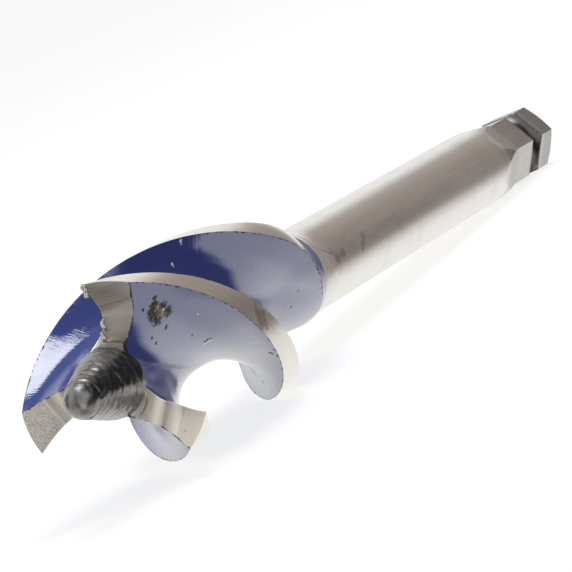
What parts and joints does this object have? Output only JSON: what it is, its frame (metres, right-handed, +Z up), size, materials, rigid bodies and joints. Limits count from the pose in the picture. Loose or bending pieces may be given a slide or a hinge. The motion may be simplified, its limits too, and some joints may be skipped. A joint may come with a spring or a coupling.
{
  "type": "auger bit",
  "caption": "Solid steel auger bit for wood: helical fluted head with spurs, hollow lips and a screw point, on a round shaft with a hexagonal shank.",
  "frame": {"origin": "middle of the bounding box, at the height of the surface the bit lies on", "axes": "+X along the bit towards the shank, +Z up"},
  "size_m": [0.1602, 0.016, 0.0174],
  "materials": {
    "steel": "bright ground steel with blue gloss lacquer in the gullets and a dark screw point"
  },
  "bodies": {
    "root": {"auger_bit": "steel"}
  },
  "joints": []
}
